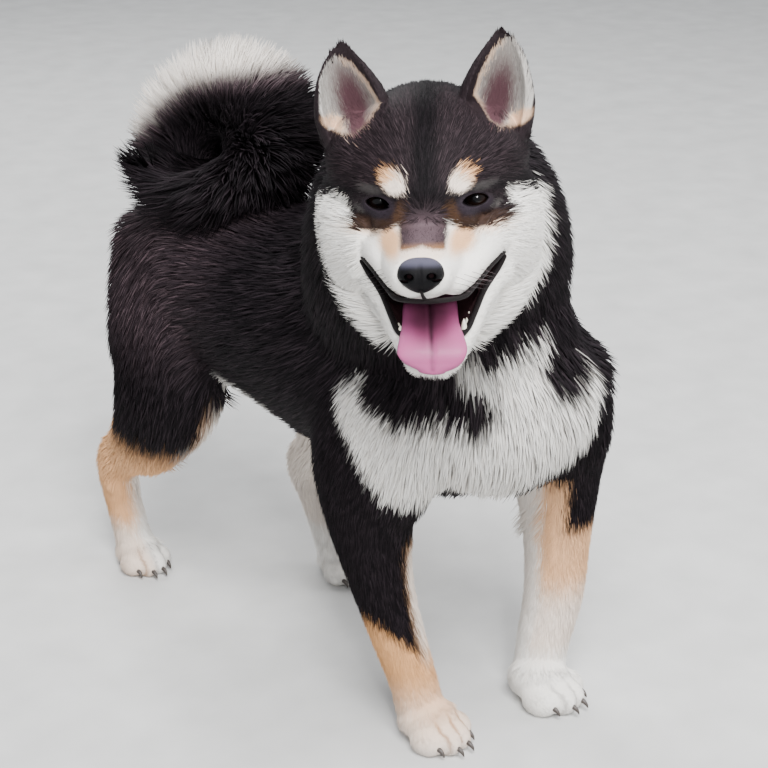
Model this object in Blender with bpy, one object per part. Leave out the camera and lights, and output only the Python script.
# A black and tan shiba inu at life size, standing in mid step with its head turned to its
# right and its mouth open. Metres, +Z up. The dog faces -Y and its left side is at +X.
# The origin is on the floor, under the middle of the whole animal.
import math
import random

import bmesh
import bpy
from mathutils import Matrix, Vector

# Gap between neighbouring nodes.
GAP = 0.0003

# The flesh is fused twice: first the forms that flow into each other, then everything.
SOFT_VOXEL = 0.005
SOFT_SMOOTHING = 16
VOXEL = 0.0035
FLESH_SMOOTHING = 4
HEAD_TRIANGLES = 2400
BODY_TRIANGLES = 3600
DOME_ROUNDNESS = 0.8
DOME_ANGLES = (30, 55, 75)
SHARP_ANGLE = math.radians(40)

# The head's own frame has its origin between the eyeballs, +X left, +Y back and +Z up.
HEAD_ORIGIN = Vector((-0.119, -0.246, 0.449))
HEAD_YAW = math.radians(42)
HEAD_PITCH = math.radians(10)
HEAD_ROLL = math.radians(3)

EYES = {
    "left": Vector((0.0315, -0.0015, 0.0022)),
    "right": Vector((-0.0275, -0.0015, 0.0022)),
}
EYE_RADIUS = 0.0100
LID_OPENING = (0.0160, 0.0084)
LID_THICKNESS = 0.0022
LID_SLANT = -3.0
NOSE_TIP = Vector((0.0, -0.0845, -0.0338))
NOSE_WIDTH = 0.0280
NOSE_HEIGHT = 0.0215
NOSE_DEPTH = 0.0240
NOSTRIL_SPREAD = 0.0070
NOSTRIL_DEPTH = 0.0015
NOSTRIL_RADII = (0.0030, 0.0050, 0.0024)
CUP_FORWARD = 0.75
CUP_LIFT = 0.004
CUP_WIDTH = 0.68
CUP_DEPTH = 0.80
JAW_HINGE = Vector((0.0, 0.030, -0.040))
JAW_CUT_ANGLE = math.radians(16.5)
JAW_SLOPE = 0.46
TOOTH_LEVEL = -0.0545
# Sections of a tooth: share of its height, and of its radius across and along the jaw.
TOOTH_SECTIONS = ((0.0, 1.0, 1.2), (0.6, 0.7, 0.8), (1.0, 0.2, 0.2))
LIP_RADIUS = 0.0024
# The mouth is drawn a little to the dog's left.
MOUTH_MIDDLE = 0.004
# Lower teeth of one side: distance forward, distance from the middle, height and radius.
TEETH = [
    (0.0430, 0.0190, 0.0135, 0.0028),
    (0.0378, 0.0203, 0.0085, 0.0026),
    (0.0328, 0.0218, 0.0085, 0.0026),
]

# A paw in shares of its width and length. Toes: steps to the side, and share of the length forward.
PAW_PAD = ((0.08, 0.36), (0.46, 0.40, 0.42))
PAW_HEEL = ((0.26, 0.30), (0.36, 0.24, 0.34))
TOES = ((-1.5, 0.12), (-0.5, 0.27), (0.5, 0.27), (1.5, 0.12))
TOE_RADIUS = 0.215
TOE_SPACING = 1.12
TOE_RISE = 0.95
TOE_SHAPE = (1.0, 1.5, 1.25)

# Planes and outlines of the cuts that part the skin into nodes.
HEAD_CUT = Vector((0.0, 0.062, 0.0))
HEAD_CUT_NORMAL = Vector((0.0, -0.924, 0.382))
HEAD_OVERLAP = 0.006
NECK_CUT = Vector((0.0, -0.020, 0.388))
NECK_CUT_NORMAL = Vector((0.0, -0.316, 0.949))
FORELEG_BLOCK = Vector((0.110, -0.170, 0.035))
FORELEG_BLOCK_SIZE = (0.20, 0.20, 0.30)
WRIST = 0.036
HOCK = 0.122
THIGH_FRONT = 0.040
THIGH_REAR = 0.340
LOIN_FRONT = 0.035
HIP_MIDDLE = -0.008
HIP_CUT = [
    (0.010, -0.050),
    (0.010, 0.195),
    (0.022, 0.202),
    (0.120, 0.330),
    (0.200, 0.330),
    (0.200, -0.050),
]

# Locks of the tail. Turn is measured round the core from the side away from the curl.
TAIL_SEED = 7
TAIL_CORE_SIDES = 10
TAIL_ROWS = 23
TAIL_STEPS = 8
FIRST_ROW = 0.8
TAPER_START = 0.65
TAPER = 0.40
TURN_SPREAD = 9.0
REACH_SPREAD = 0.08
FRINGE_TURNS = ((0.0,), (-48.0, 48.0))
FRINGE_REACH = 0.058
FRINGE_SIZE = (0.032, 0.024)
SIDE_EVERY = 4
SIDE_TURNS = (-100.0, 100.0, 180.0)
SIDE_REACH = 0.040
SIDE_SIZE = (0.034, 0.016)
# Stations of a lock: share of its reach, and of its width and thickness.
LOCK_STATIONS = ((0.0, 0.75), (0.58, 1.0), (0.83, 0.60))
LOCK_BEND = 0.34
TIP_REACH = 0.055
TIP_SIZE = (0.022, 0.016)
TIP_SPREADS = (-0.35, 0.0, 0.35)
TIP_STEP = -6

# Colour and roughness of the nodes, by the first word of their names.
BLACK_COAT = ((0.030, 0.026, 0.028), 0.75)
TAN_COAT = ((0.45, 0.28, 0.16), 0.80)
WHITE_COAT = ((0.75, 0.72, 0.68), 0.80)
LOOKS = {
    "head": BLACK_COAT,
    "jaw": WHITE_COAT,
    "ear": BLACK_COAT,
    "neck": BLACK_COAT,
    "chest": BLACK_COAT,
    "loin": BLACK_COAT,
    "tail": BLACK_COAT,
    "foreleg": TAN_COAT,
    "forepaw": WHITE_COAT,
    "thigh": BLACK_COAT,
    "shank": TAN_COAT,
    "hindpaw": WHITE_COAT,
    "eye": ((0.012, 0.008, 0.006), 0.08),
    "nose": ((0.020, 0.019, 0.022), 0.45),
    "tongue": ((0.62, 0.24, 0.30), 0.40),
    "teeth": ((0.80, 0.76, 0.66), 0.30),
}

# Rows of a lofted form: x, y, z of the middle, half width and half depth of the section.
TRUNK = [
    (-0.012, 0.208, 0.284, 0.048, 0.054),
    (-0.012, 0.188, 0.283, 0.076, 0.074),
    (-0.010, 0.145, 0.280, 0.092, 0.084),
    (-0.008, 0.090, 0.277, 0.093, 0.082),
    (-0.005, 0.020, 0.277, 0.097, 0.088),
    (0.000, -0.050, 0.277, 0.104, 0.098),
    (0.004, -0.110, 0.274, 0.106, 0.098),
    (0.004, -0.158, 0.268, 0.102, 0.088),
    (0.002, -0.192, 0.266, 0.082, 0.070),
]
WITHERS = [
    (-0.004, 0.040, 0.318, 0.060, 0.044),
    (0.000, -0.020, 0.328, 0.070, 0.056),
    (0.002, -0.070, 0.336, 0.078, 0.064),
    (0.000, -0.110, 0.340, 0.080, 0.070),
]
NECK = [
    (0.004, -0.060, 0.290, 0.090, 0.084),
    (0.002, -0.100, 0.322, 0.100, 0.094),
    (-0.012, -0.130, 0.355, 0.102, 0.096),
    (-0.036, -0.154, 0.392, 0.098, 0.090),
    (-0.060, -0.176, 0.422, 0.086, 0.078),
    (-0.082, -0.200, 0.440, 0.070, 0.062),
]
BREAST = [
    (0.002, -0.184, 0.272, 0.074, 0.056),
    (-0.006, -0.174, 0.318, 0.078, 0.060),
    (-0.022, -0.166, 0.362, 0.070, 0.056),
]
FORELEG_RIGHT = [
    (-0.060, -0.140, 0.270, 0.042, 0.066),
    (-0.074, -0.134, 0.215, 0.036, 0.054),
    (-0.077, -0.133, 0.180, 0.030, 0.040),
    (-0.070, -0.140, 0.125, 0.024, 0.027),
    (-0.060, -0.150, 0.075, 0.0215, 0.022),
    (-0.053, -0.156, 0.045, 0.0200, 0.0205),
    (-0.051, -0.162, 0.022, 0.0200, 0.022),
]
FORELEG_LEFT = [
    (0.068, -0.150, 0.270, 0.042, 0.066),
    (0.086, -0.150, 0.215, 0.038, 0.054),
    (0.091, -0.152, 0.180, 0.033, 0.041),
    (0.087, -0.160, 0.125, 0.0270, 0.029),
    (0.078, -0.168, 0.080, 0.0250, 0.025),
    (0.067, -0.170, 0.045, 0.0225, 0.0225),
    (0.060, -0.174, 0.022, 0.0220, 0.023),
]
BUTTOCK_RIGHT = [
    (-0.044, 0.190, 0.300, 0.044, 0.048),
    (-0.056, 0.194, 0.255, 0.040, 0.044),
    (-0.068, 0.186, 0.205, 0.032, 0.036),
]
BUTTOCK_LEFT = [
    (0.028, 0.188, 0.300, 0.044, 0.048),
    (0.040, 0.176, 0.255, 0.040, 0.046),
    (0.052, 0.138, 0.205, 0.032, 0.038),
]
THIGH_RIGHT = [
    (-0.044, 0.158, 0.300, 0.046, 0.068),
    (-0.064, 0.146, 0.250, 0.046, 0.080),
    (-0.078, 0.138, 0.200, 0.040, 0.064),
    (-0.083, 0.165, 0.150, 0.029, 0.045),
    (-0.080, 0.206, 0.115, 0.020, 0.029),
    (-0.078, 0.228, 0.090, 0.0165, 0.023),
]
SHANK_RIGHT = [
    (-0.079, 0.214, 0.110, 0.017, 0.022),
    (-0.078, 0.232, 0.092, 0.0175, 0.022),
    (-0.077, 0.228, 0.060, 0.0165, 0.0180),
    (-0.076, 0.218, 0.032, 0.0165, 0.0185),
    (-0.076, 0.211, 0.018, 0.0180, 0.020),
]
THIGH_LEFT = [
    (0.028, 0.152, 0.300, 0.046, 0.070),
    (0.048, 0.122, 0.250, 0.044, 0.082),
    (0.060, 0.086, 0.200, 0.038, 0.062),
    (0.062, 0.092, 0.150, 0.027, 0.042),
    (0.058, 0.116, 0.110, 0.020, 0.028),
    (0.058, 0.129, 0.088, 0.0165, 0.022),
]
SHANK_LEFT = [
    (0.058, 0.116, 0.106, 0.017, 0.022),
    (0.058, 0.130, 0.090, 0.0175, 0.021),
    (0.057, 0.112, 0.058, 0.0165, 0.0180),
    (0.056, 0.094, 0.032, 0.0165, 0.0185),
    (0.056, 0.086, 0.018, 0.0180, 0.020),
]
TAIL = [
    (-0.010, 0.170, 0.312, 0.029, 0.029),
    (-0.007, 0.192, 0.342, 0.027, 0.027),
    (-0.003, 0.191, 0.384, 0.027, 0.027),
    (0.003, 0.162, 0.408, 0.027, 0.027),
    (0.005, 0.128, 0.407, 0.027, 0.027),
    (-0.004, 0.106, 0.385, 0.026, 0.026),
    (-0.030, 0.110, 0.366, 0.021, 0.021),
    (-0.056, 0.128, 0.360, 0.016, 0.016),
    (-0.068, 0.152, 0.368, 0.011, 0.011),
]
# Paws: side of the dog, middle and direction of travel of the sole, width and length.
PAWS = {
    "forepaw_right": (Vector((-0.049, -0.176, 0.0)), math.radians(8), 0.046, 0.064),
    "forepaw_left": (Vector((0.055, -0.186, 0.0)), math.radians(12), 0.050, 0.064),
    "hindpaw_right": (Vector((-0.076, 0.202, 0.0)), math.radians(0), 0.041, 0.062),
    "hindpaw_left": (Vector((0.056, 0.076, 0.0)), math.radians(0), 0.041, 0.062),
}

# Rows in the head's frame.
SKULL = [
    (0.0, 0.104, 0.012, 0.044, 0.044),
    (0.0, 0.078, 0.014, 0.060, 0.054),
    (0.0, 0.046, 0.013, 0.064, 0.058),
    (0.0, 0.022, 0.010, 0.061, 0.053),
    (0.0, 0.002, 0.003, 0.051, 0.042),
    (0.0, -0.012, -0.006, 0.036, 0.030),
]
TEMPLE = [
    (0.036, 0.070, 0.026, 0.027, 0.030),
    (0.041, 0.046, 0.029, 0.026, 0.030),
    (0.039, 0.020, 0.024, 0.022, 0.026),
    (0.034, 0.004, 0.014, 0.015, 0.019),
]
MUZZLE = [
    (0.0, 0.014, -0.024, 0.046, 0.032),
    (0.0, -0.008, -0.027, 0.038, 0.027),
    (0.0, -0.032, -0.0305, 0.0285, 0.0215),
    (0.0, -0.056, -0.0335, 0.0235, 0.0180),
    (0.0, -0.068, -0.0345, 0.0200, 0.0160),
]
JAW = [
    (0.001, 0.030, -0.046, 0.050, 0.028),
    (0.003, 0.006, -0.060, 0.040, 0.022),
    (0.004, -0.018, -0.074, 0.030, 0.0175),
    (0.004, -0.036, -0.084, 0.0235, 0.0150),
    (0.004, -0.050, -0.090, 0.0175, 0.0120),
]
CHEEK = [
    (0.036, 0.078, -0.010, 0.026, 0.040),
    (0.042, 0.050, -0.018, 0.032, 0.050),
    (0.040, 0.022, -0.024, 0.028, 0.042),
    (0.034, 0.000, -0.028, 0.018, 0.027),
]
CHEEK_RUFF = [
    (0.050, 0.056, -0.018, 0.022, 0.026),
    (0.047, 0.046, -0.044, 0.024, 0.028),
    (0.036, 0.032, -0.066, 0.021, 0.026),
    (0.022, 0.016, -0.080, 0.014, 0.018),
]
THROAT = [
    (0.0, 0.062, -0.034, 0.048, 0.044),
    (0.0, 0.034, -0.052, 0.044, 0.036),
    (0.0, 0.008, -0.068, 0.034, 0.025),
]
# The flews end at the edges of the lips.
UPPER_FLEW = [
    (0.0415, 0.004, -0.0245, 0.0110, 0.0110),
    (0.0330, -0.028, -0.0300, 0.0090, 0.0090),
    (0.0240, -0.046, -0.0385, 0.0088, 0.0088),
    (0.0175, -0.058, -0.0415, 0.0085, 0.0085),
]
LOWER_FLEW = [
    (0.0425, 0.002, -0.0450, 0.0100, 0.0100),
    (0.0375, -0.010, -0.0500, 0.0090, 0.0090),
    (0.0300, -0.020, -0.0615, 0.0088, 0.0088),
    (0.0240, -0.032, -0.0735, 0.0085, 0.0085),
    (0.0185, -0.0415, -0.0805, 0.0080, 0.0080),
    (0.0100, -0.0490, -0.0865, 0.0070, 0.0070),
]
BROW = [
    (0.012, -0.004, 0.012, 0.011, 0.010),
    (0.027, -0.001, 0.014, 0.012, 0.011),
    (0.041, 0.008, 0.010, 0.011, 0.011),
]
EAR = [
    (0.0415, 0.036, 0.040, 0.0250, 0.018),
    (0.0450, 0.032, 0.056, 0.0250, 0.0155),
    (0.0475, 0.027, 0.071, 0.0208, 0.0120),
    (0.0488, 0.023, 0.084, 0.0140, 0.0080),
    (0.0490, 0.019, 0.0955, 0.0050, 0.0040),
]
EAR_WIDTH_DIRECTION = Vector((0.87, 0.05, -0.49))
# The left ear is held a little higher than the right one.
EAR_STRETCH = {"left": 1.07, "right": 1.0}
MOUTH = [
    (0.004, 0.006, -0.0440, 0.0270, 0.0045),
    (0.004, -0.014, -0.0495, 0.0280, 0.0085),
    (0.004, -0.034, -0.0570, 0.0235, 0.0125),
    (0.004, -0.050, -0.0625, 0.0180, 0.0145),
    (0.004, -0.062, -0.0655, 0.0150, 0.0150),
]
# Points on the left half of a lip, from the corner of the mouth to the middle.
UPPER_LIP = [
    (0.0475, -0.008, -0.0310),
    (0.0390, -0.028, -0.0370),
    (0.0295, -0.047, -0.0460),
    (0.0235, -0.060, -0.0495),
    (0.0090, -0.076, -0.0490),
]
LOWER_LIP = [
    (0.0475, -0.008, -0.0335),
    (0.0435, -0.011, -0.0405),
    (0.0350, -0.022, -0.0520),
    (0.0288, -0.034, -0.0645),
    (0.0235, -0.044, -0.0730),
    (0.0105, -0.0575, -0.0805),
]
TONGUE = [
    (0.0010, 0.004, -0.0550, 0.0150, 0.0040),
    (0.0020, -0.020, -0.0615, 0.0160, 0.0042),
    (0.0030, -0.042, -0.0690, 0.0165, 0.0042),
    (0.0040, -0.057, -0.0755, 0.0185, 0.0042),
    (0.0045, -0.0650, -0.0820, 0.0195, 0.0040),
    (0.0043, -0.0665, -0.0880, 0.0165, 0.0034),
    (0.0040, -0.0670, -0.0920, 0.0085, 0.0028),
]


def head_matrix():
    """From the head's frame to the model's."""
    forward = Vector((
        -math.sin(HEAD_YAW) * math.cos(HEAD_PITCH),
        -math.cos(HEAD_YAW) * math.cos(HEAD_PITCH),
        math.sin(HEAD_PITCH),
    ))
    level_left = Vector((math.cos(HEAD_YAW), -math.sin(HEAD_YAW), 0.0))
    level_up = level_left.cross(-forward)
    left = level_left * math.cos(HEAD_ROLL) + level_up * math.sin(HEAD_ROLL)
    up = left.cross(-forward)
    return Matrix.Translation(HEAD_ORIGIN) @ Matrix((left, -forward, up)).transposed().to_4x4()


def spline_rows(rows, steps):
    """Rows on a Catmull-Rom curve through the given rows, with steps between each pair."""
    dense = []
    last = len(rows) - 1
    for index in range(last):
        before, start, end, after = (rows[max(0, min(last, index + k))] for k in (-1, 0, 1, 2))
        for step in range(steps):
            t = step / steps
            dense.append(tuple(
                0.5 * (2 * b + (c - a) * t + (2 * a - 5 * b + 4 * c - d) * t ** 2
                       + (3 * b - a - 3 * c + d) * t ** 3)
                for a, b, c, d in zip(before, start, end, after)
            ))
    dense.append(tuple(rows[last]))
    return dense


def with_round_ends(rows):
    """Add shrinking rows past both ends, so that a loft ends in a dome."""
    domed = []
    for inner, end in ((rows[1], rows[0]), (rows[-2], rows[-1])):
        middle = Vector(end[:3])
        outward = (middle - Vector(inner[:3])).normalized()
        reach = DOME_ROUNDNESS * min(end[3], end[4])
        cap = []
        for angle in DOME_ANGLES:
            place = middle + outward * reach * math.sin(math.radians(angle))
            shrink = math.cos(math.radians(angle))
            cap.append((*place, end[3] * shrink, end[4] * shrink))
        domed.append((cap, middle + outward * reach))
    return domed[0][0][::-1] + rows + domed[1][0], domed[0][1], domed[1][1]


def loft(rows, side=(1, 0, 0), sides=28, steps=4, frame=None):
    """A closed bmesh through elliptical sections whose width lies along side."""
    dense, first_tip, last_tip = with_round_ends(spline_rows(rows, steps))
    bm = bmesh.new()
    rings = []
    for index, row in enumerate(dense):
        before = Vector(dense[max(index - 1, 0)][:3])
        after = Vector(dense[min(index + 1, len(dense) - 1)][:3])
        along = (after - before).normalized()
        across = Vector(side)
        across = (across - along * across.dot(along)).normalized()
        deep = along.cross(across)
        ring = []
        for corner in range(sides):
            angle = 2 * math.pi * corner / sides
            offset = across * row[3] * math.cos(angle) + deep * row[4] * math.sin(angle)
            ring.append(bm.verts.new(Vector(row[:3]) + offset))
        rings.append(ring)
    for near, far in zip(rings, rings[1:]):
        for corner in range(sides):
            following = (corner + 1) % sides
            bm.faces.new((near[corner], near[following], far[following], far[corner]))
    for ring, tip in ((rings[0], first_tip), (rings[-1], last_tip)):
        point = bm.verts.new(tip)
        for corner in range(sides):
            bm.faces.new((ring[corner], ring[(corner + 1) % sides], point))
    bmesh.ops.recalc_face_normals(bm, faces=bm.faces)
    if frame is not None:
        bm.transform(frame)
    return bm


def mirrored(rows, middle=0.0):
    """The same rows on the other side of the plane x = middle."""
    return [(2 * middle - row[0], *row[1:]) for row in rows]


def stretched(rows, share):
    """Rows drawn out along Z from the first one."""
    base = rows[0][2]
    return [(x, y, base + (z - base) * share, wide, deep) for x, y, z, wide, deep in rows]


def ball(centre, radii, frame=None, divisions=3):
    """An ellipsoid with its axes along the frame's."""
    bm = bmesh.new()
    bmesh.ops.create_icosphere(bm, subdivisions=divisions, radius=1.0)
    bm.transform(Matrix.Translation(Vector(centre)) @ Matrix.Diagonal((*radii, 1.0)))
    if frame is not None:
        bm.transform(frame)
    return bm


def block(centre, size, frame=None):
    """A box by its centre and size."""
    bm = bmesh.new()
    bmesh.ops.create_cube(bm, size=1.0)
    bm.transform(Matrix.Translation(Vector(centre)) @ Matrix.Diagonal((*size, 1.0)))
    if frame is not None:
        bm.transform(frame)
    return bm


def add_object(name, *shapes):
    """Join bmeshes into one new object and free them."""
    joined = bmesh.new()
    for shape in shapes:
        piece = bpy.data.meshes.new("piece")
        shape.to_mesh(piece)
        shape.free()
        joined.from_mesh(piece)
        bpy.data.meshes.remove(piece)
    mesh = bpy.data.meshes.new(name)
    joined.to_mesh(mesh)
    joined.free()
    obj = bpy.data.objects.new(name, mesh)
    bpy.context.scene.collection.objects.link(obj)
    return obj


def apply_modifiers(obj):
    """Keep what the modifiers make as the object's own mesh."""
    graph = bpy.context.evaluated_depsgraph_get()
    made = bpy.data.meshes.new_from_object(obj.evaluated_get(graph))
    obj.modifiers.clear()
    obj.data = made


def remesh(obj, voxel, smoothing):
    """Fuse overlapping shapes into one smooth closed surface."""
    fuse = obj.modifiers.new("fuse", "REMESH")
    fuse.mode = "VOXEL"
    fuse.voxel_size = voxel
    smooth = obj.modifiers.new("smooth", "SMOOTH")
    smooth.factor = 0.5
    smooth.iterations = smoothing
    apply_modifiers(obj)


def thin_out(obj, triangles):
    """Reduce a closed mesh to about this many triangles."""
    bm = bmesh.new()
    bm.from_mesh(obj.data)
    bmesh.ops.triangulate(bm, faces=bm.faces)
    bm.to_mesh(obj.data)
    bm.free()
    reduce = obj.modifiers.new("reduce", "DECIMATE")
    reduce.ratio = triangles / len(obj.data.polygons)
    apply_modifiers(obj)


def cut(obj, cutter, operation, solver="EXACT"):
    """Cut obj by a bmesh, which is freed."""
    tool = add_object("tool", cutter)
    boolean = obj.modifiers.new("cut", "BOOLEAN")
    boolean.operation = operation
    boolean.object = tool
    boolean.solver = solver
    apply_modifiers(obj)
    bpy.data.objects.remove(tool)


def keep_largest(obj):
    """Keep only the largest closed surface of a mesh."""
    bm = bmesh.new()
    bm.from_mesh(obj.data)
    unseen = set(bm.faces)
    largest, most = [], -1.0
    while unseen:
        stack = [unseen.pop()]
        island = []
        while stack:
            face = stack.pop()
            island.append(face)
            for edge in face.edges:
                for other in edge.link_faces:
                    if other in unseen:
                        unseen.remove(other)
                        stack.append(other)
        area = sum(face.calc_area() for face in island)
        if area > most:
            largest, most = island, area
    kept = set(largest)
    spare = [face for face in bm.faces if face not in kept]
    bmesh.ops.delete(bm, geom=spare, context="FACES")
    bm.to_mesh(obj.data)
    bm.free()


def grown(shape, distance):
    """A copy of a bmesh with each point moved out along its normal."""
    bigger = shape.copy()
    bigger.normal_update()
    moves = [(vert, vert.normal * distance) for vert in bigger.verts]
    for vert, move in moves:
        vert.co += move
    return bigger


def copy_object(obj, name):
    """A copy with a mesh of its own."""
    twin = bpy.data.objects.new(name, obj.data.copy())
    bpy.context.scene.collection.objects.link(twin)
    return twin


def part_off(rest, name, cutter):
    """Take what lies in the cutter off the rest as a node of its own, a gap away."""
    piece = copy_object(rest, name)
    wider = grown(cutter, GAP)
    cut(piece, cutter, "INTERSECT")
    cut(rest, wider, "DIFFERENCE")
    keep_largest(piece)
    keep_largest(rest)
    return piece


def halfspace(point, normal, size=1.2, frame=None):
    """A large box whose one face passes through point, on the side that normal points to."""
    normal = Vector(normal).normalized()
    turn = normal.to_track_quat("Z", "Y").to_matrix().to_4x4()
    place = Matrix.Translation(Vector(point)) @ turn
    return block((0, 0, size / 2), (size, size, size), place if frame is None else frame @ place)


def prism(outline, back, front):
    """A prism along Y over an outline of x and z."""
    bm = bmesh.new()
    near = [bm.verts.new((x, front, z)) for x, z in outline]
    far = [bm.verts.new((x, back, z)) for x, z in outline]
    count = len(outline)
    for index in range(count):
        following = (index + 1) % count
        bm.faces.new((near[index], near[following], far[following], far[index]))
    bm.faces.new(near)
    bm.faces.new(far)
    bmesh.ops.recalc_face_normals(bm, faces=bm.faces)
    return bm


def paw(centre, heading, width, length):
    """The pad, the heel and four arched toes of a compact foot, which the floor cuts flat."""
    turn = Matrix.Translation(centre) @ Matrix.Rotation(heading, 4, "Z")
    shapes = []
    for (rearward, rise), (wide, long, high) in (PAW_PAD, PAW_HEEL):
        middle = (0, length * rearward, width * rise)
        shapes.append(ball(middle, (width * wide, length * long, width * high), turn))
    radius = width * TOE_RADIUS
    for side, forward in TOES:
        middle = (side * radius * TOE_SPACING, -length * forward, radius * TOE_RISE)
        shapes.append(ball(middle, [radius * share for share in TOE_SHAPE], turn))
    return shapes


def lid_gap(centre, frame):
    """A prism along the head's Y whose outline is pointed at both ends, for the gap of the lids."""
    width, height = LID_OPENING
    corners = 8
    outline = []
    for index in range(2 * corners):
        angle = math.pi * index / corners
        lift = math.copysign(abs(math.sin(angle)) ** 1.25, math.sin(angle))
        outline.append((math.cos(angle) * width / 2, lift * height / 2))
    bm = prism(outline, 0.0, -0.04)
    bm.transform(frame @ Matrix.Translation(centre) @ Matrix.Rotation(centre.x * LID_SLANT, 4, "Y"))
    return bm


def lip(points, frame):
    """A lip as one thin roll from corner to corner of the mouth."""
    left = [(*point, LIP_RADIUS, LIP_RADIUS) for point in points]
    return loft(mirrored(left, MOUTH_MIDDLE) + left[::-1], (0, 0, 1), 6, 1, frame)


def make_ears(head_frame, head):
    """Thick triangular ears with a deep cup that opens forward."""
    width = EAR_WIDTH_DIRECTION
    for side, rows, across in (
        ("left", stretched(EAR, EAR_STRETCH["left"]), width),
        ("right", stretched(mirrored(EAR), EAR_STRETCH["right"]), Vector((-width.x, width.y, width.z))),
    ):
        ear = add_object("ear_" + side, loft(rows, across, 16, 2, head_frame))
        cup = [
            (x, y - CUP_FORWARD * deep, z + CUP_LIFT, CUP_WIDTH * wide, CUP_DEPTH * deep)
            for x, y, z, wide, deep in rows[:-1]
        ]
        cut(ear, loft(cup, across, 12, 2, head_frame), "DIFFERENCE")
        seat(ear, head)


def make_eyes(head_frame, head):
    """Eyeballs behind lids that stand a little proud of the sockets."""
    for side, centre in EYES.items():
        cut(head, ball(centre, (EYE_RADIUS + LID_THICKNESS,) * 3, head_frame, 2), "UNION")
        cut(head, lid_gap(centre, head_frame), "DIFFERENCE")
        cut(head, ball(centre, (EYE_RADIUS + GAP,) * 3, head_frame), "DIFFERENCE")
        keep_largest(head)
        add_object("eye_" + side, ball(centre, (EYE_RADIUS,) * 3, head_frame, 2))


def make_nose(head_frame, head):
    """The nose leather with its two nostrils."""
    radii = (NOSE_WIDTH / 2, NOSE_DEPTH / 2, NOSE_HEIGHT / 2)
    middle = NOSE_TIP + Vector((0, radii[1], 0))
    nose = add_object("nose", ball(middle, radii, head_frame))
    for x in (-1, 1):
        nostril = NOSE_TIP + Vector((x * NOSTRIL_SPREAD, NOSTRIL_DEPTH, 0.0))
        cut(nose, ball(nostril, NOSTRIL_RADII, head_frame, 2), "DIFFERENCE")
    sink(nose, head)


def make_mouth(head_frame, jaw, head):
    """The tongue over the lower lip, and the lower teeth beside it."""
    tongue = add_object("tongue", loft(TONGUE, sides=12, steps=2, frame=head_frame))
    sink(tongue, jaw)
    seat(tongue, head)
    for side, x in (("left", 1), ("right", -1)):
        shapes = []
        for forward, out, height, radius in TEETH:
            root = Vector((MOUTH_MIDDLE + x * out, -forward, TOOTH_LEVEL - forward * JAW_SLOPE))
            rows = [
                (*(root + Vector((0, 0, height * rise))), radius * across, radius * along)
                for rise, across, along in TOOTH_SECTIONS
            ]
            shapes.append(loft(rows, sides=6, steps=1, frame=head_frame))
        teeth = add_object("teeth_" + side, shapes[0])
        for shape in shapes[1:]:
            cut(teeth, shape, "UNION")
        seat(teeth, jaw)
        seat(teeth, tongue)


def mesh_of(obj):
    """A bmesh copy of an object's mesh."""
    bm = bmesh.new()
    bm.from_mesh(obj.data)
    return bm


def seat(obj, carrier):
    """Cut a piece back from what carries it, so that the two meet a gap apart."""
    cut(obj, grown(mesh_of(carrier), GAP), "DIFFERENCE")
    keep_largest(obj)


def sink(obj, carrier):
    """Cut the room for a piece, and the gap round it, out of what carries it."""
    cut(carrier, grown(mesh_of(obj), GAP), "DIFFERENCE")
    keep_largest(carrier)


def flesh_body(head):
    """The whole animal but for its ears, eyes, nose, tongue, teeth and tail, in one skin."""
    body = add_object(
        "chest",
        loft(TRUNK), loft(WITHERS), loft(NECK), loft(BREAST),
        loft(FORELEG_RIGHT), loft(FORELEG_LEFT), loft(THIGH_RIGHT), loft(THIGH_LEFT),
        loft(BUTTOCK_RIGHT), loft(BUTTOCK_LEFT),
    )
    remesh(body, SOFT_VOXEL, SOFT_SMOOTHING)
    parts = [mesh_of(body)]
    bpy.data.objects.remove(body)
    for rows in (SHANK_RIGHT, SHANK_LEFT):
        parts.append(loft(rows))
    for foot in PAWS.values():
        parts.extend(paw(*foot))
    forms = [SKULL, MUZZLE, JAW, THROAT]
    for rows in (CHEEK, CHEEK_RUFF, BROW, TEMPLE):
        forms += [rows, mirrored(rows)]
    for rows in (UPPER_FLEW, LOWER_FLEW):
        forms += [rows, mirrored(rows, MOUTH_MIDDLE)]
    for rows in forms:
        parts.append(loft(rows, frame=head))
    body = add_object("chest", *parts)
    remesh(body, VOXEL, FLESH_SMOOTHING)
    return body


def split_head(body, head):
    """Cut the skin in two behind the head, and reduce each half to its own share of triangles."""
    def ahead_of(distance):
        place = HEAD_CUT + HEAD_CUT_NORMAL * distance
        return halfspace(place, HEAD_CUT_NORMAL, 0.4, head)

    front = copy_object(body, "head")
    cut(front, ahead_of(-HEAD_OVERLAP), "INTERSECT")
    thin_out(front, HEAD_TRIANGLES)
    cut(front, ahead_of(0), "INTERSECT")
    cut(body, ahead_of(HEAD_OVERLAP), "DIFFERENCE")
    thin_out(body, BODY_TRIANGLES)
    cut(body, halfspace((0, 0, 0), (0, 0, -1)), "DIFFERENCE")
    cut(body, ahead_of(-GAP), "DIFFERENCE")
    return front, body


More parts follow.
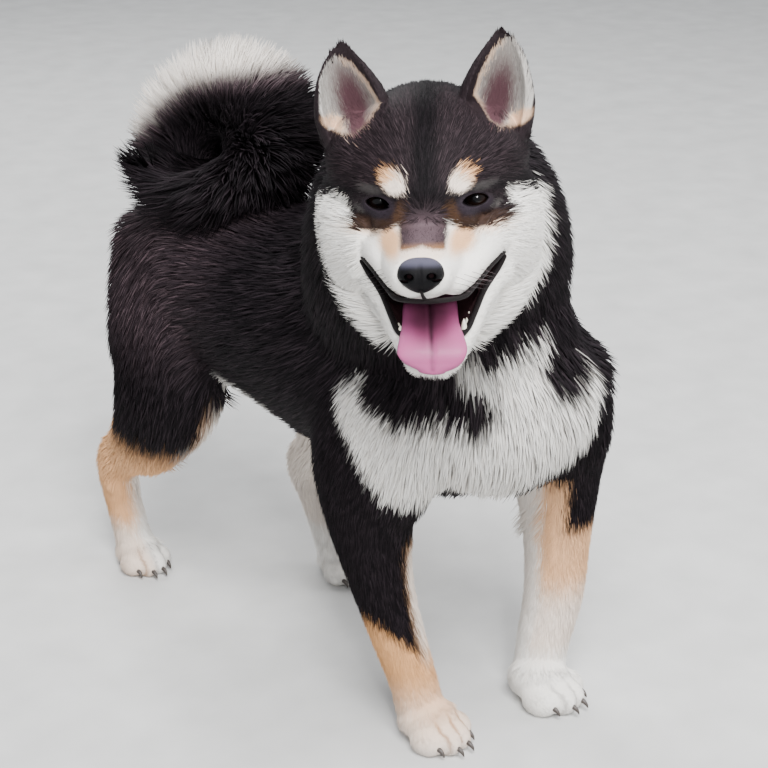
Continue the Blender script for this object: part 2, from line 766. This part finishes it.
def make_body(rest):
    """Part the skin behind the head into neck, trunk and legs."""
    part_off(rest, "neck", halfspace(NECK_CUT, NECK_CUT_NORMAL))
    for side, x in (("right", -1), ("left", 1)):
        place = Vector((x * FORELEG_BLOCK.x, FORELEG_BLOCK.y, FORELEG_BLOCK.z))
        leg = part_off(rest, "foreleg_" + side, block(place, FORELEG_BLOCK_SIZE))
        part_off(leg, "forepaw_" + side, halfspace((0, 0, WRIST), (0, 0, -1)))
        hip = [(x * across + HIP_MIDDLE, z) for across, z in HIP_CUT]
        thigh = part_off(rest, "thigh_" + side, prism(hip, THIGH_REAR, THIGH_FRONT))
        shank = part_off(thigh, "shank_" + side, halfspace((0, 0, HOCK), (0, 0, -1)))
        part_off(shank, "hindpaw_" + side, halfspace((0, 0, WRIST), (0, 0, -1)))
    return part_off(rest, "loin", halfspace((0, LOIN_FRONT, 0), (0, 1, 0)))


def lock(root, outward, along, reach, width, thickness):
    """A flat tapered lock that leaves its root outward and bends along the lie of the hair."""
    outward = outward.normalized()
    along = (along - outward * along.dot(outward)).normalized()
    flat = outward.cross(along)
    bm = bmesh.new()
    rings = []
    for share, size in LOCK_STATIONS:
        middle = root + outward * reach * share + along * reach * LOCK_BEND * share ** 2
        heading = (outward + along * 2 * LOCK_BEND * share).normalized()
        thin = heading.cross(flat)
        corners = []
        for across, through in ((1, 0), (0, 1), (-1, 0), (0, -1)):
            offset = flat * across * width + thin * through * thickness
            corners.append(bm.verts.new(middle + offset * size / 2))
        rings.append(corners)
    tip = bm.verts.new(root + outward * reach + along * reach * LOCK_BEND)
    for near, far in zip(rings, rings[1:]):
        for corner in range(4):
            following = (corner + 1) % 4
            bm.faces.new((near[corner], near[following], far[following], far[corner]))
    for corner in range(4):
        bm.faces.new((rings[-1][corner], rings[-1][(corner + 1) % 4], tip))
    bm.faces.new(rings[0])
    bmesh.ops.recalc_face_normals(bm, faces=bm.faces)
    return bm


def fuse_locks(core, locks):
    """Join a core and its locks by one union, and keep the outermost surface."""
    bunch = bpy.data.collections.new("bunch")
    bpy.context.scene.collection.children.link(bunch)
    for shape in locks:
        strand = add_object("strand", shape)
        bpy.context.scene.collection.objects.unlink(strand)
        bunch.objects.link(strand)
    union = core.modifiers.new("union", "BOOLEAN")
    union.operation = "UNION"
    union.operand_type = "COLLECTION"
    union.collection = bunch
    union.solver = "MANIFOLD"
    apply_modifiers(core)
    for strand in list(bunch.objects):
        bpy.data.objects.remove(strand)
    bpy.data.collections.remove(bunch)
    keep_largest(core)


def make_tail(carrier):
    """A bushy tail curled over the back, its tip lying over the right hip."""
    tail = add_object("tail", loft(TAIL, sides=TAIL_CORE_SIDES, steps=2))
    draw = random.Random(TAIL_SEED)
    path = [Vector(row[:3]) for row in spline_rows(TAIL, TAIL_STEPS)]
    ring = TAIL[1:7]
    curl_middle = sum((Vector(row[:3]) for row in ring), Vector()) / len(ring)
    locks = []
    for row in range(TAIL_ROWS):
        share = (row + FIRST_ROW) / TAIL_ROWS
        step = min(int(share * (len(path) - 1)), len(path) - 2)
        along = (path[step + 1] - path[step - 1]).normalized()
        away = path[step] - curl_middle
        away = (away - along * away.dot(along)).normalized()
        taper = 1.0 - TAPER * max(0.0, share - TAPER_START) / (1.0 - TAPER_START)
        sorts = [(FRINGE_TURNS[row % 2], FRINGE_REACH, FRINGE_SIZE)]
        if row % SIDE_EVERY == 1:
            sorts.append((SIDE_TURNS, SIDE_REACH, SIDE_SIZE))
        for turns, reach, (width, thickness) in sorts:
            for turn in turns:
                turn += draw.uniform(-TURN_SPREAD, TURN_SPREAD)
                outward = Matrix.Rotation(math.radians(turn), 3, along) @ away
                length = reach * taper * draw.uniform(1 - REACH_SPREAD, 1 + REACH_SPREAD)
                locks.append(lock(path[step], outward, along, length, width * taper, thickness * taper))
    upward = Vector((0, 0, 1))
    aim = (path[-1] - path[TIP_STEP]).normalized()
    side = aim.cross(upward).normalized()
    for spread in TIP_SPREADS:
        locks.append(lock(path[TIP_STEP], aim + side * spread, upward, TIP_REACH, *TIP_SIZE))
    fuse_locks(tail, locks)
    cut(tail, grown(mesh_of(carrier), GAP), "DIFFERENCE", "MANIFOLD")
    keep_largest(tail)


def finish(obj, colour, roughness):
    """Give a node its own material, and shade it smooth but for its sharp edges."""
    material = bpy.data.materials.new(obj.name)
    material.use_nodes = True
    shader = material.node_tree.nodes["Principled BSDF"]
    shader.inputs["Base Color"].default_value = (*colour, 1.0)
    shader.inputs["Roughness"].default_value = roughness
    obj.data.materials.clear()
    obj.data.materials.append(material)
    obj.data.shade_smooth()
    obj.data.set_sharp_from_angle(angle=SHARP_ANGLE)


def main():
    for obj in list(bpy.data.objects):
        bpy.data.objects.remove(obj)
    head_frame = head_matrix()
    head, rest = split_head(flesh_body(head_frame), head_frame)
    for points in (UPPER_LIP, LOWER_LIP):
        cut(head, lip(points, head_frame), "UNION")
    cut(head, loft(MOUTH, sides=14, steps=2, frame=head_frame), "DIFFERENCE")
    make_nose(head_frame, head)
    make_eyes(head_frame, head)
    jaw_cut = head_frame @ Matrix.Translation(JAW_HINGE) @ Matrix.Rotation(JAW_CUT_ANGLE, 4, "X")
    jaw = part_off(head, "jaw", block((0, -0.10, -0.05), (0.2, 0.2, 0.1), jaw_cut))
    make_mouth(head_frame, jaw, head)
    make_ears(head_frame, head)
    loin = make_body(rest)
    make_tail(loin)

    nodes = list(bpy.context.scene.objects)
    lows = [min(v.co[axis] for node in nodes for v in node.data.vertices) for axis in range(2)]
    highs = [max(v.co[axis] for node in nodes for v in node.data.vertices) for axis in range(2)]
    shift = Vector((-(lows[0] + highs[0]) / 2, -(lows[1] + highs[1]) / 2, 0.0))
    for node in nodes:
        node.data.transform(Matrix.Translation(shift))
        finish(node, *LOOKS[node.name.split("_")[0]])


main()
